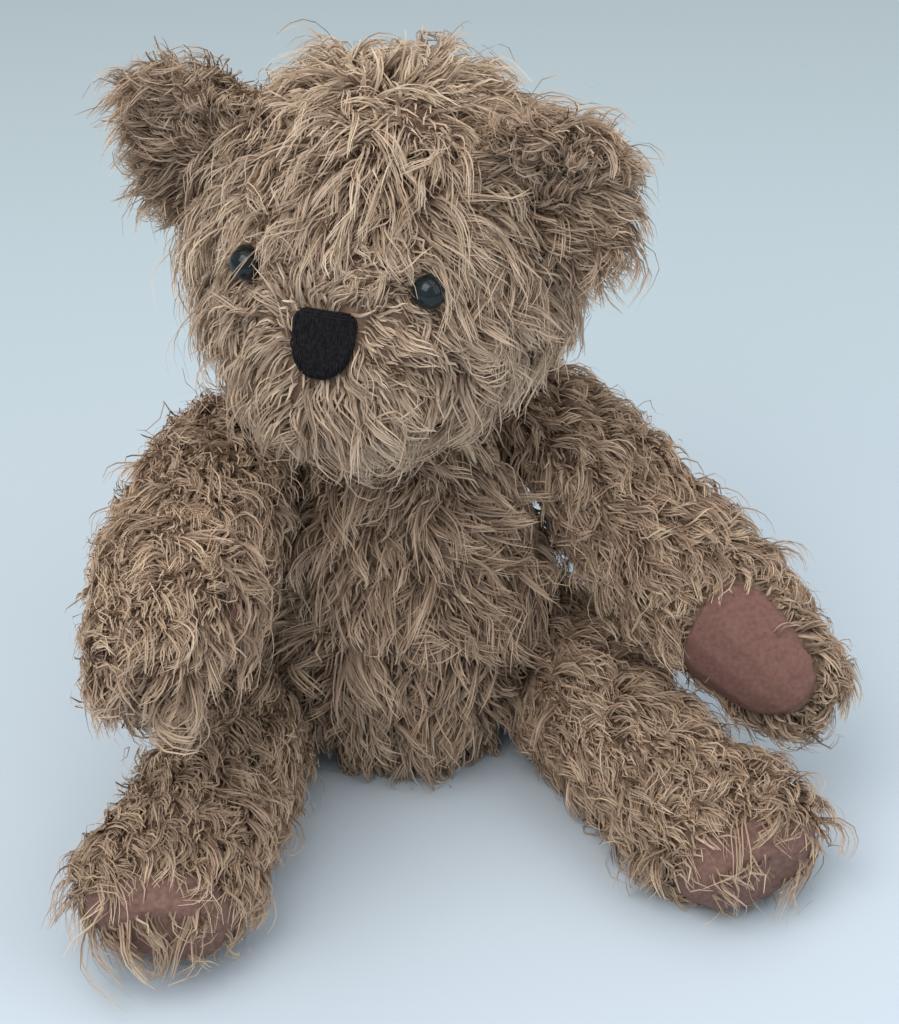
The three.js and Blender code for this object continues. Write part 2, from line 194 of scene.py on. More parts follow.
def pile_material(name, root, middle, tip, pale):
    """Hair colour from its map: across it the shade of each hair, along it from root to tip."""
    material, tree, shader = node_material(name, 0.62, 0.25)
    where = tree.nodes.new("ShaderNodeUVMap")
    where.uv_map = "OFBake"
    apart = tree.nodes.new("ShaderNodeSeparateXYZ")
    tree.links.new(where.outputs["UV"], apart.inputs["Vector"])
    shade, along = apart.outputs["X"], apart.outputs["Y"]
    dark = tuple(0.72 * c for c in middle)
    plain = ramp(tree, [(0.0, root), (0.3, dark), (0.62, middle), (1.0, tip)], along)
    blond = ramp(tree, [(0.0, root), (0.25, middle), (0.55, tip), (1.0, pale)], along)
    share = ramp(tree, [(0.35, (0, 0, 0)), (1.0, (1, 1, 1))], shade)
    mixed = tree.nodes.new("ShaderNodeMix")
    mixed.data_type = "RGBA"
    tree.links.new(share, mixed.inputs["Factor"])
    tree.links.new(plain, mixed.inputs["A"])
    tree.links.new(blond, mixed.inputs["B"])
    tree.links.new(mixed.outputs["Result"], shader.inputs["Base Color"])
    return material


def eye_material():
    material, tree, shader = node_material("eye_gloss", 0.1, 0.35)
    stops = [(0.0, (0.004, 0.006, 0.007)), (1.0, (0.014, 0.024, 0.027))]
    tree.links.new(ramp(tree, stops, noise(tree, 300)), shader.inputs["Base Color"])
    return material


def floor_material():
    """Pale blue-grey paper with painted light falloff: greyer and darker towards the back, lighter
    towards the front.
    """
    material, tree, shader = node_material("backdrop", 0.9, 0.1)
    place = tree.nodes.new("ShaderNodeTexCoord")
    apart = tree.nodes.new("ShaderNodeSeparateXYZ")
    tree.links.new(place.outputs["Object"], apart.inputs["Vector"])
    span = tree.nodes.new("ShaderNodeMapRange")
    span.inputs["From Min"].default_value = 0.9
    span.inputs["From Max"].default_value = -0.3
    tree.links.new(apart.outputs["Y"], span.inputs["Value"])
    # Painted light falloff: the far stop is darker and greyer, the near stop lighter.
    stops = [(0.0, (0.34, 0.385, 0.39)), (0.45, (0.46, 0.525, 0.555)), (1.0, (0.6, 0.66, 0.735))]
    tree.links.new(ramp(tree, stops, span.outputs["Result"]), shader.inputs["Base Color"])
    return material


# Partly painted shade and light: the body's pile is darker and the head's lighter partly because the
# torso lies in the head's shadow; the rest is the fur's own tone.
BODY_PILE_TONE_AND_SHADE = pile_material(
    "body_pile", (0.24, 0.16, 0.11), (0.46, 0.318, 0.222), (0.6, 0.43, 0.3), (0.8, 0.63, 0.44)
)
HEAD_PILE_TONE_AND_LIGHT = pile_material(
    "head_pile", (0.34, 0.235, 0.168), (0.55, 0.4, 0.285), (0.68, 0.515, 0.375), (0.86, 0.7, 0.52)
)
EAR_PILE = pile_material(
    "ear_pile", (0.2, 0.13, 0.092), (0.41, 0.285, 0.2), (0.57, 0.415, 0.295), (0.78, 0.61, 0.44)
)
BACKING = mottled(
    "plush_backing", [(0.13, 0.083, 0.055), (0.19, 0.122, 0.082), (0.25, 0.167, 0.114)], 420, 0.95,
    (1600, 0.5, 0.0006), 0.1,
)
SUEDE = mottled(
    "suede", [(0.155, 0.076, 0.061), (0.185, 0.094, 0.076), (0.212, 0.112, 0.092)], 620, 0.88,
    (2200, 0.35, 0.0003), 0.15,
)
SOLE_SUEDE = mottled(
    "sole_suede", [(0.16, 0.088, 0.071), (0.2, 0.115, 0.094), (0.24, 0.145, 0.12)], 560, 0.88,
    (2200, 0.35, 0.0003), 0.15,
)
THREAD = mottled(
    "nose_thread", [(0.005, 0.005, 0.006), (0.011, 0.01, 0.012), (0.022, 0.02, 0.022)], 900, 0.8,
    (2600, 0.4, 0.0002), 0.15,
)
FIBRE = mottled("fibre", [(0.7, 0.68, 0.62), (0.85, 0.83, 0.78)], 160, 0.95, (700, 0.6, 0.001), 0.1)
PLASTIC = mottled("moulded_plastic", [(0.72, 0.72, 0.69), (0.8, 0.8, 0.77)], 90, 0.45)
EYE = eye_material()

floor_mesh = bpy.data.meshes.new("floor")
floor_corners = [(-1, -1), (1, -1), (1, 1), (-1, 1)]
floor_mesh.from_pydata(
    [(x * FLOOR_REACH, y * FLOOR_REACH, 0) for x, y in floor_corners], [], [(0, 1, 2, 3)]
)
floor_mesh.materials.append(floor_material())
floor = bpy.data.objects.new("floor", floor_mesh)
scene.collection.objects.link(floor)


# ---------------------------------------------------------------- meshes
SHRINK_STEP = 0.55
SWELL_STEP = -0.57
PUFF_FRAMES = 10
PUFF_PRESSURE = 4


def unit(v):
    return v / np.maximum(np.linalg.norm(v, axis=-1, keepdims=True), 1e-12)


def points_of(mesh):
    points = np.zeros(len(mesh.vertices) * 3)
    mesh.vertices.foreach_get("co", points)
    return points.reshape(-1, 3)


def triangles_of(mesh):
    mesh.calc_loop_triangles()
    triangles = np.zeros(len(mesh.loop_triangles) * 3, np.int32)
    mesh.loop_triangles.foreach_get("vertices", triangles)
    return triangles.reshape(-1, 3)


def plain_mesh(name, points, faces):
    mesh = bpy.data.meshes.new(name)
    mesh.from_pydata([tuple(p) for p in points], [], [tuple(int(i) for i in f) for f in faces])
    return mesh


def smooth_mesh(name, points, faces):
    mesh = plain_mesh(name, points, faces)
    mesh.polygons.foreach_set("use_smooth", [True] * len(mesh.polygons))
    mesh.update()
    return mesh


def link_mesh(name, mesh, material):
    mesh.materials.append(material)
    made = bpy.data.objects.new(name, mesh)
    scene.collection.objects.link(made)
    return made


def tree_of(points, faces):
    """A search tree over a mesh, for rays and nearest points."""
    return BVHTree.FromPolygons([tuple(p) for p in points], [tuple(int(i) for i in f) for f in faces])


def temporary(points, faces):
    """An object that carries a modifier for one run."""
    carrier = bpy.data.objects.new("temporary", plain_mesh("temporary", points, faces))
    scene.collection.objects.link(carrier)
    return carrier


def drop(carrier):
    mesh = carrier.data
    bpy.data.objects.remove(carrier)
    bpy.data.meshes.remove(mesh)


def evaluated(carrier):
    return carrier.evaluated_get(bpy.context.evaluated_depsgraph_get())


def joined_nodes(names):
    """The points and triangles of several CAD nodes, as one mesh."""
    points, triangles, first = [], [], 0
    for name in names:
        mesh = nodes[name].data
        points.append(points_of(mesh))
        triangles.append(triangles_of(mesh) + first)
        first += len(mesh.vertices)
    return np.concatenate(points), np.concatenate(triangles)


def edges_of(quads):
    edges = np.concatenate([quads[:, [i, (i + 1) % 4]] for i in range(4)])
    return np.unique(np.sort(edges, 1), axis=0)


def largest_part(points, quads):
    """The connected part with the most points."""
    label = np.arange(len(points))
    edges = edges_of(quads)
    while True:
        low = label.copy()
        np.minimum.at(low, edges[:, 0], label[edges[:, 1]])
        np.minimum.at(low, edges[:, 1], label[edges[:, 0]])
        low = low[low]
        if (low == label).all():
            break
        label = low
    keep = label == np.bincount(label).argmax()
    index = np.cumsum(keep) - 1
    return points[keep], index[quads[keep[quads].all(1)]]


def relaxed(points, quads, rounds, hold=None):
    """Taubin smoothing: it rounds off facets and keeps the size. Held points stay put."""
    edges = edges_of(quads)
    degree = np.bincount(edges.ravel(), minlength=len(points))[:, None]
    free = np.ones((len(points), 1), bool) if hold is None else ~hold[:, None]
    for part in (SHRINK_STEP, SWELL_STEP) * rounds:
        total = np.zeros_like(points)
        np.add.at(total, edges[:, 0], points[edges[:, 1]])
        np.add.at(total, edges[:, 1], points[edges[:, 0]])
        points = points + np.where(free, (total / degree - points) * part, 0)
    return points


def remeshed(points, triangles, voxel):
    """A voxel remesh of closed bodies, as its outer skin of quads."""
    carrier = temporary(points, triangles)
    change = carrier.modifiers.new("voxel", "REMESH")
    change.mode = "VOXEL"
    change.voxel_size = voxel
    result = bpy.data.meshes.new_from_object(evaluated(carrier))
    made = points_of(result)
    quads = np.array([tuple(f.vertices) for f in result.polygons if len(f.vertices) == 4], np.int64)
    drop(carrier)
    bpy.data.meshes.remove(result)
    return largest_part(made, quads)


def puffed(points, quads, hold, cap):
    """A short cloth run under pressure, as stuffing fills a skin. No point moves past the cap."""
    carrier = temporary(points, quads)
    pins = carrier.vertex_groups.new(name="pins")
    pins.add([int(i) for i in np.flatnonzero(hold)], 1.0, "REPLACE")
    cloth = carrier.modifiers.new("cloth", "CLOTH")
    cloth.settings.use_pressure = True
    cloth.settings.uniform_pressure_force = PUFF_PRESSURE
    cloth.settings.vertex_group_mass = "pins"
    cloth.settings.effector_weights.gravity = 0
    cloth.settings.quality = 4
    cloth.point_cache.frame_start = 1
    cloth.point_cache.frame_end = PUFF_FRAMES
    for number in range(1, PUFF_FRAMES + 1):
        scene.frame_set(number)
    result = points_of(evaluated(carrier).data)
    drop(carrier)
    scene.frame_set(1)
    shift = result - points
    far = np.linalg.norm(shift, axis=1, keepdims=True)
    return points + shift * np.minimum(1, cap / np.maximum(far, 1e-9))


def vertex_normals(points, quads):
    a, b, c, d = (points[quads[:, i]] for i in range(4))
    face = np.cross(c - a, d - b)
    total = np.zeros_like(points)
    for i in range(4):
        np.add.at(total, quads[:, i], face)
    return unit(total)


# ---------------------------------------------------------------- joints and bodies
LIMBS = {
    "left_arm": "left_shoulder",
    "right_arm": "right_shoulder",
    "left_leg": "left_hip",
    "right_leg": "right_hip",
}
SKINS = {
    "torso": ["torso_front_panel", "torso_back_left_panel", "torso_back_right_panel"],
    "head": ["head_left_panel", "head_right_panel", "head_gusset"],
}
PADS = {}
for limb in LIMBS:
    side, part = limb.split("_")
    SKINS[limb] = [f"{limb}_outer_panel", f"{limb}_inner_panel"]
    PADS[limb] = f"{side}_paw_pad" if part == "arm" else f"{side}_foot_pad"


def joint_plane(name):
    """A joint's place, and the way out of the torso along its axis."""
    joint = joints[name]
    place = np.array(joint["pos_m"])
    axis = np.array(joint["axis"])
    axis = axis / np.linalg.norm(axis)
    away = UPWARD if name == "neck_turn" else np.array([place[0], 0, 0])
    return place, axis if axis @ away > 0 else -axis


PLANES = {name: joint_plane(name) for name in joints}


def joint_names(body):
    if body == "head":
        return ["neck_turn"]
    return [LIMBS[body]] if body in LIMBS else list(PLANES)


def near_face(place, body, name, depth):
    """How high places lie above a joint's flat face, and which are in a body within a depth of it."""
    at, out = PLANES[name]
    high = (place - at) @ out
    return high, (high > -depth) if body == "torso" else (high < depth)


def body_under(name):
    return "head" if name.endswith("_ear") else name


# ---------------------------------------------------------------- plush skins
SKIN_VOXEL = 3.6 * MM
EAR_VOXEL = 2.2 * MM
HELD_DEPTH = 2.2 * MM
HELD_SEAT = 1.2 * MM
PUFF_CAP = 1.0 * MM
SUNK = 1.4 * MM

skin_shapes = {}
for body, panels in SKINS.items():
    own_pad = [PADS[body]] if body in PADS else []
    points, quads = remeshed(*joined_nodes([*panels, f"{body}_stuffing", *own_pad]), SKIN_VOXEL)
    held = (points[:, 2] < HELD_SEAT) & (body == "torso")
    for name in joint_names(body):
        held |= near_face(points, body, name, HELD_DEPTH)[1]
    points = relaxed(points, quads, 6, held)
    points = puffed(points, quads, held, PUFF_CAP)
    points = relaxed(points, quads, 2, held)
    skin_shapes[body] = points, quads
for ear in ("left_ear", "right_ear"):
    SKINS[ear] = [f"{ear}_front", f"{ear}_back"]
    points, quads = remeshed(*joined_nodes(SKINS[ear]), EAR_VOXEL)
    skin_shapes[ear] = relaxed(points, quads, 5), quads

skins = {}
for name, (points, quads) in skin_shapes.items():
    sunk = points - vertex_normals(points, quads) * SUNK
    skins[name] = sunk, quads, vertex_normals(sunk, quads)
    plush = link_mesh(f"{name}_plush", smooth_mesh(f"{name}_plush", sunk, quads), BACKING)
    change = plush.modifiers.new("finer", "SUBSURF")
    change.levels = change.render_levels = 1
    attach(plush, body_under(name))
    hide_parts(*SKINS[name])
head_tree = tree_of(*skins["head"][:2])


# ---------------------------------------------------------------- suede pads
PAD_VOXEL = 1.15 * MM
PAD_REACH = 45 * MM

# What a hair must stay out of, on each skin: a middle, a search tree and how far it can reach.
hard_parts = {name: [] for name in skins}
pad_trees = {}
for limb, node in PADS.items():
    points, quads = remeshed(*joined_nodes([node]), PAD_VOXEL)
    points = relaxed(points, quads, 8)
    pad_trees[limb] = points.mean(0), tree_of(points, quads)
    hard_parts[limb].append((*pad_trees[limb], PAD_REACH))
    suede = SUEDE if limb.endswith("arm") else SOLE_SUEDE
    pad = link_mesh(f"{node}_suede", smooth_mesh(f"{node}_suede", points, quads), suede)
    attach(pad, limb)
    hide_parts(node)


# ---------------------------------------------------------------- eyes
EYE_RADIUS = 5.2
EYE_AROUND = 40
EYE_REACH = 20 * MM
# Radius and height in millimetres of the stem and the flange, from behind to the dome's edge.
EYE_SHANK = [(1.4, -9.2), (1.5, -9.0), (1.5, -3.0), (4.6, -2.2), (5.1, -1.4)]

head_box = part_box("head_stuffing")
head_centre = np.array((head_box[0] + head_box[1]) / 2)


def eye_place(side):
    """The front of an eye, and the way that it faces: from its washer to its middle."""
    points = points_of(nodes[f"{side}_eye"].data)
    line = points_of(nodes[f"{side}_eye_washer"].data).mean(0)
    axis = points.mean(0) - line
    axis /= np.linalg.norm(axis)
    return line + axis * ((points @ axis).max() - line @ axis), axis


def ring_faces(levels, around):
    """Quads between each ring of points and the next, and a face over each end."""
    faces = []
    for k in range(levels - 1):
        low, high = k * around, (k + 1) * around
        for i in range(around):
            j = (i + 1) % around
            faces.append((low + i, low + j, high + j, high + i))
    last = (levels - 1) * around
    faces.append(tuple(range(around))[::-1])
    faces.append(tuple(last + i for i in range(around)))
    return faces


def turned_shape(place, axis, profile, around):
    """A shape turned round an axis through a place, from (radius, height) pairs."""
    side = np.cross(axis, UPWARD)
    side /= np.linalg.norm(side)
    other = np.cross(axis, side)
    points = []
    for radius, high in profile:
        for i in range(around):
            turn = 2 * math.pi * i / around
            way = side * math.cos(turn) + other * math.sin(turn)
            points.append(place + axis * high + way * radius)
    return np.array(points), ring_faces(len(profile), around)


eye_places = {side: eye_place(side) for side in ("left", "right")}
across = eye_places["left"][0] - eye_places["right"][0]
across /= np.linalg.norm(across)
facing = np.cross(across, UPWARD)
facing = facing if facing @ (eye_places["left"][0] - head_centre) > 0 else -facing

for side, (front, axis) in eye_places.items():
    base = front - axis * (EYE_RADIUS + 0.8) * MM
    dome = [
        (EYE_RADIUS * MM * math.cos(a), EYE_RADIUS * MM * math.sin(a))
        for a in np.linspace(0.0, 1.53, 14)
    ]
    shank = [(radius * MM, high * MM) for radius, high in EYE_SHANK]
    points, faces = turned_shape(base, axis, shank + dome, EYE_AROUND)
    hard_parts["head"].append((front, tree_of(points, faces), EYE_REACH))
    eye = link_mesh(f"{side}_glass_eye", smooth_mesh(f"{side}_glass_eye", points, faces), EYE)
    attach(eye, "head")
    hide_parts(f"{side}_eye")


# ---------------------------------------------------------------- nose
NOSE_HALF = 9.6 * MM
NOSE_THICK = 3.0 * MM
NOSE_REACH = 25 * MM
NOSE_RINGS = 10
NOSE_AROUND = 48
CAST_REACH = 0.08
CAST_LEAD = 0.04
THREADS = 38
THREAD_RADIUS = 0.27 * MM
THREAD_SIDES = 5
THREAD_POINTS = 16
BAR_THREADS = 3

nose_points = points_of(nodes["nose_embroidery"].data)
nose_middle = (nose_points.max(0) + nose_points.min(0)) / 2
nose_high = np.ptp(nose_points[:, 2]) * 0.46
nose_out = facing * 0.98 + UPWARD * 0.12
nose_out /= np.linalg.norm(nose_out)
nose_up = UPWARD - nose_out * nose_out[2]
nose_up /= np.linalg.norm(nose_up)


def cast(place):
    """The head's skin under a place in front of it, and the skin's outward normal there."""
    start = place + nose_out * CAST_LEAD
    hit, normal, _, _ = head_tree.ray_cast(Vector(start), Vector(-nose_out), CAST_REACH)
    if hit is None:
        hit, normal, _, _ = head_tree.find_nearest(Vector(start - nose_out * CAST_REACH * 0.5))
    normal = np.array(normal)
    return np.array(hit), normal if normal @ nose_out >= 0 else -normal


def nose_width(v):
    """Half the nose's width at a height from -1, its foot, to 1, its flat top."""
    if v > 0.55:
        return 1.0 - 0.35 * ((v - 0.55) / 0.45) ** 3
    return math.sqrt(max(0.0, 1 - ((0.55 - v) / 1.55) ** 3.0))


def nose_outline(turn):
    """The nose's edge, in metres across and up, found by halving along a way from its middle."""
    c, s = math.cos(turn), math.sin(turn)
    low, high = 0.0, 1.6
    for _ in range(24):
        mid = (low + high) / 2
        inside = abs(mid * s) <= 1 and abs(mid * c) <= nose_width(mid * s)
        low, high = (mid, high) if inside else (low, mid)
    return low * c * NOSE_HALF, low * s * nose_high


def bulge(edge):
    """How far the stuffed nose stands out, from its middle at 0 to its edge at 1."""
    return NOSE_THICK * math.sqrt(max(0.0, 1 - edge**10))


def nose_patch():
    """The stuffed patch under the stitches: a closed disc of rings laid on the skin."""
    points, faces = [], []
    for raised in (True, False):
        for k in range(NOSE_RINGS + 1):
            share = k / NOSE_RINGS
            for i in range(NOSE_AROUND):
                x, y = nose_outline(2 * math.pi * i / NOSE_AROUND)
                hit, normal = cast(nose_middle + across * x * share + nose_up * y * share)
                points.append(hit + normal * (bulge(share) if raised else -1.0 * MM))
    under = (NOSE_RINGS + 1) * NOSE_AROUND
    for k in range(NOSE_RINGS):
        a, b = k * NOSE_AROUND, (k + 1) * NOSE_AROUND
        for i in range(NOSE_AROUND):
            j = (i + 1) % NOSE_AROUND
            faces.append((a + i, b + i, b + j, a + j))
            faces.append((under + a + j, under + b + j, under + b + i, under + a + i))
    rim = NOSE_RINGS * NOSE_AROUND
    for i in range(NOSE_AROUND):
        j = (i + 1) % NOSE_AROUND
        faces.append((rim + i, under + rim + i, under + rim + j, rim + j))
    return points, faces


def nose_surface(x, v):
    """A point on the stuffed nose, at a width x in metres and a height v from -1 to 1."""
    hit, normal = cast(nose_middle + across * x + nose_up * v * nose_high)
    edge = min(1.0, abs(x) / max(NOSE_HALF * nose_width(v), 1e-5))
    return hit + normal * (bulge(max(edge, abs(v))) + 0.1 * MM)


def thread(path):
    """A thread along a path, closed at both ends."""
    points = []
    for k, point in enumerate(path):
        along = path[min(k + 1, len(path) - 1)] - path[max(k - 1, 0)]
        along /= np.linalg.norm(along)
        side = np.cross(along, nose_out)
        side /= np.linalg.norm(side)
        lift = np.cross(side, along)
        for i in range(THREAD_SIDES):
            turn = 2 * math.pi * i / THREAD_SIDES
            points.append(point + (side * math.cos(turn) + lift * math.sin(turn)) * THREAD_RADIUS)
    return points, ring_faces(len(path), THREAD_SIDES)


def stitch_paths():
    """Upright threads side by side, then the bar of level threads along the top."""
    paths = []
    for i in range(THREADS):
        x = (-1 + 2 * (i + 0.5) / THREADS) * NOSE_HALF * 0.99
        heights = [v for v in np.linspace(-0.995, 0.985, 60) if NOSE_HALF * nose_width(v) >= abs(x)]
        wobble = rng.normal(0, 0.05 * MM, THREAD_POINTS)
        paths.append([
            nose_surface(x * (0.97 + 0.03 * abs(v)) + wobble[k], v)
            for k, v in enumerate(np.linspace(heights[0], heights[-1], THREAD_POINTS))
        ])
    for row in range(BAR_THREADS):
        v = 0.97 - 0.075 * row
        width = NOSE_HALF * nose_width(v)
        level_places = np.linspace(-width, width, THREAD_POINTS)
        paths.append([nose_surface(x, v) + nose_out * 0.25 * MM for x in level_places])
    return paths


nose_mesh_points, nose_mesh_faces = nose_patch()
patch_tree = tree_of(nose_mesh_points, nose_mesh_faces)
hard_parts["head"].append((nose_middle, patch_tree, NOSE_REACH))
for path in stitch_paths():
    points, faces = thread(path)
    first = len(nose_mesh_points)
    nose_mesh_points += points
    nose_mesh_faces += [tuple(first + k for k in f) for f in faces]
nose_mesh = smooth_mesh("nose_stitches", nose_mesh_points, nose_mesh_faces)
nose = link_mesh("nose_stitches", nose_mesh, THREAD)
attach(nose, "head")
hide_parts("nose_embroidery")


# ---------------------------------------------------------------- lie of the pile
# Lengths are in millimetres here. A lie is the way that the hairs point, their length, how
# steeply they rise, which places have hair, and how far the way wanders, in radians.
TORSO_LENGTH = 16.5
HEAD_LENGTH = 17.0
BEARD_LENGTH = 16.5
MUZZLE_LENGTH = 10.0
LIMB_LENGTH = 12.5
JOINT_LENGTH = 9
BARE_JOINT = 21 * MM
BARE_PAD = 1.7
# Whether fur hangs over a pad's upper edge, where it is below 0, or stands away from it.
OVERHANG = {"left_arm": 0.9, "right_arm": -1.0, "left_leg": -1.1, "right_leg": -0.7}


def scattered(points, quads, normals, count):
    """Random places spread evenly over a skin, with the skin's normal at each."""
    triangles = np.concatenate([quads[:, [0, 1, 2]], quads[:, [0, 2, 3]]])
    a, b, c = (points[triangles[:, i]] for i in range(3))
    area = np.linalg.norm(np.cross(b - a, c - a), axis=1)
    chosen = rng.choice(len(triangles), count, p=area / area.sum())
    u, v = rng.random((2, count))
    over = u + v > 1
    u, v = np.where(over, 1 - u, u)[:, None], np.where(over, 1 - v, v)[:, None]
    picked = triangles[chosen]
    place = a[chosen] + (b[chosen] - a[chosen]) * u + (c[chosen] - a[chosen]) * v
    n = [normals[picked[:, i]] for i in range(3)]
    return place, unit(n[0] * (1 - u - v) + n[1] * u + n[2] * v)


def swirl(place, seed):
    """A slow wander over the body, about -1 to 1, that turns the lie of the pile into tufts."""
    local = np.random.default_rng(seed)
    total = np.zeros(len(place))
    for size in (55, 90, 150, 260):
        way = unit(local.normal(size=3))
        total += np.sin(place @ way * size * 2 + local.uniform(0, 6.28)) * (70 / (70 + size))
    return total / 1.8


def turned(way, normal, angle):
    """A tangent way turned about the normal."""
    return way * np.cos(angle)[:, None] + np.cross(normal, way) * np.sin(angle)[:, None]


def tangent(way, normal):
    return unit(way - normal * (way * normal).sum(1, keepdims=True))


def joint_rim(body, place):
    """Which places lie on a joint's face, how far from its axis, and the way out from the axis."""
    near = np.zeros(len(place), bool)
    apart = np.zeros(len(place))
    outward = np.zeros_like(place)
    for name in joint_names(body):
        at, out = PLANES[name]
        high, here = near_face(place, body, name, 3 * MM)
        radial = place - at - np.outer(high, out)
        near |= here
        apart[here] = np.linalg.norm(radial[here], axis=1)
        outward[here] = unit(radial[here])
    return near, apart, outward


def torso_lie(name, place, normal):
    """Down and outwards, with none under the seat."""
    count = len(place)
    way = DOWN + np.array([0, -0.25, 0]) + np.outer(place[:, 0], [20, 0, 0])
    length = np.full(count, TORSO_LENGTH)
    return way, length, np.full(count, 0.85), place[:, 2] > 2.5 * MM, 0.75


def head_lie(name, place, normal):
    """Down from the crown and out from the nose, with a beard, a rough whorl and clear eyes."""
    count = len(place)
    nose_off = place - nose_middle
    reach = np.linalg.norm(nose_off, axis=1) / MM
    crown = head_centre + UPWARD * 0.055 + facing * 0.02
    close = np.clip(1 - (reach - 20) / 34, 0, 1)[:, None]
    front = np.clip(((place - head_centre) @ facing) / 0.04, 0, 1)[:, None]
    way = unit(place - crown) * 0.8 + DOWN * 0.75 + facing * 0.3 * front
    way = way * (1 - close) + (unit(nose_off) * 0.9 + DOWN * 0.35) * close * 1.6
    whorl = np.clip(1 - np.linalg.norm(place - crown, axis=1) / 0.034, 0, 1)[:, None]
    way = way * (1 - whorl) + (facing + unit(rng.normal(size=(count, 3))) * 1.3) * whorl
    muzzle = MUZZLE_LENGTH + np.clip(reach - 14, 0, 28) * 0.24
    length = np.where(reach < 42, muzzle, HEAD_LENGTH)
    beard = (nose_off @ UPWARD < -8 * MM) & (reach < 46)
    length = np.where(beard, BEARD_LENGTH, length)
    lift = np.where(reach < 34, 0.65, 0.72) + 0.35 * np.clip((normal @ UPWARD - 0.6) / 0.4, 0, 1)
    x, y = nose_off @ across / NOSE_HALF, nose_off @ nose_up / nose_high
    half_width = np.array([nose_width(v) for v in np.clip(y, -1, 1)])
    keep = ~((np.abs(x) < half_width) & (np.abs(y) < 1) & (reach < 16))
    for front_point, axis in eye_places.values():
        off = place - (front_point - axis * 5 * MM)
        away = np.linalg.norm(off, axis=1) / MM
        keep &= away > 4.6
        near = np.clip(1 - (away - 5) / 12, 0, 1)
        near = near * np.where(off @ UPWARD > 3.5 * MM, 0.15, 1)
        length = length * (1 - 0.6 * near)
        way = unit(way) + unit(off) * near[:, None] * 1.2
    return way, length, lift, keep, 0.9


def ear_lie(name, place, normal):
    """Out from the ear's root, longer behind, along the rim and low down."""
    side = 1 if name.startswith("left") else -1
    middle = skins[name][0].mean(0)
    root = middle - across * side * 0.009 - facing * 0.012 - UPWARD * 0.014
    way = unit(place - root) + DOWN * 0.3
    front_side = normal @ facing > 0.1
    low_side = np.clip((middle - place) @ UPWARD / 0.02, 0, 1)
    rim = np.linalg.norm(place - root, axis=1) > 0.035
    length = np.where(front_side, 11.5, 15.0) + 4 * low_side
    length = np.where(rim, length + 1.5, length)
    return way, length, np.where(front_side, 0.6, 0.85), np.ones(len(place), bool), 0.8


def limb_lie(name, place, normal):
    """Along the limb towards its pad, then over the pad's edge or away from it."""
    joint_place, out = PLANES[LIMBS[name]]
    pad_middle, pad_tree = pad_trees[name]
    axis = unit(pad_middle - joint_place - out * 16 * MM)
    gaps = np.array([pad_tree.find_nearest(Vector(p))[3] for p in place])
    edge = np.clip(1 - (gaps / MM - BARE_PAD) / 9, 0, 1)
    above = place[:, 2] > pad_middle[2] - 2 * MM
    pull = np.where(above, OVERHANG[name], 0.6)
    way = unit(axis + DOWN * 0.35) * (1 - 0.6 * edge)[:, None]
    way = way + tangent(place - pad_middle, normal) * edge[:, None] * pull[:, None]
    fringe = np.where(above & (OVERHANG[name] < 0), 0.5, -0.25)
    length = LIMB_LENGTH * (1 + fringe * edge)
    return way, length, np.full(len(place), 0.7), gaps > BARE_PAD * MM, 0.95


def comb(name, place, normal):
    """The lie of the pile over one skin, with short hair round its joints. Its lengths are in metres."""
    if name.endswith("_ear"):
        lie = ear_lie
    else:
        lie = {"torso": torso_lie, "head": head_lie}.get(name, limb_lie)
    way, length, lift, keep, spread = lie(name, place, normal)
    if not name.endswith("_ear"):
        near, apart, outward = joint_rim(name, place)
        keep = keep & ~(near & (apart < BARE_JOINT))
        way = np.where(near[:, None], outward, unit(way))
        length = np.where(near, np.minimum(length, JOINT_LENGTH), length)
        lift = np.where(near, 0.3, lift)
    angle = swirl(place, len(name) * 3 + 1) * spread + rng.normal(0, 0.26, len(place))
    return turned(tangent(way, normal), normal, angle), length * MM, lift, keep


# ---------------------------------------------------------------- hairs
LONG = np.linspace(0, 1, 7)
SHORT = np.linspace(0, 1, 4)
ROOM = 0.6 * MM
LEAST_HEIGHT = 0.3 * MM
PROUD = 14 * MM
LOWEST = np.array(start_bounds[0]) - PROUD
HIGHEST = np.array(start_bounds[1]) + PROUD
LOCK_RADIUS = 2.5 * MM
LOCKS_PER_TUFT = 9
TUFT_GATHER = 0.45
DROOP_LENGTH = 55 * MM
SAG = 0.12
MOST_TRIANGLES = 195000
SHADE_EDGE = 0.002


def pierced(name, line):
    """Which hairs would run inside a pad, the nose or an eye."""
    found = np.zeros(len(line), bool)
    for middle, tree, reach in hard_parts[name]:
        close = np.linalg.norm(line - middle, axis=2).min(1) < reach
        for i in np.flatnonzero(close):
            for point in line[i, 1:]:
                hit, normal, _, _ = tree.find_nearest(Vector(point))
                if (Vector(point) - hit).dot(normal) < 0.1 * MM:
                    found[i] = True
                    break
    return found


def within(line):
    """Shortens the hairs that would stand too far outside the CAD box."""
    root = line[:, :1]
    grow = line - root
    room = np.where(grow > 0, HIGHEST - root, root - LOWEST)
    share = (room / np.maximum(np.abs(grow), 1e-9)).min((1, 2))
    return root + grow * np.clip(share, 0, 1)[:, None, None]


def tufted(place, normal, way, lift):
    """Groups locks into tufts: their ways and lifts, the pull to the tuft's middle, and its tone."""
    centres = rng.choice(len(place), len(place) // LOCKS_PER_TUFT, replace=False)
    count = len(centres)
    tuft = ((place[:, None] - place[centres]) ** 2).sum(2).argmin(1)
    way = turned(way, normal, rng.normal(0, 0.5, count)[tuft])
    lift = lift * rng.uniform(0.7, 1.4, count)[tuft]
    tone = rng.normal(0, 0.12, count)[tuft]
    return way, lift, (place[centres][tuft] - place) * TUFT_GATHER, tone


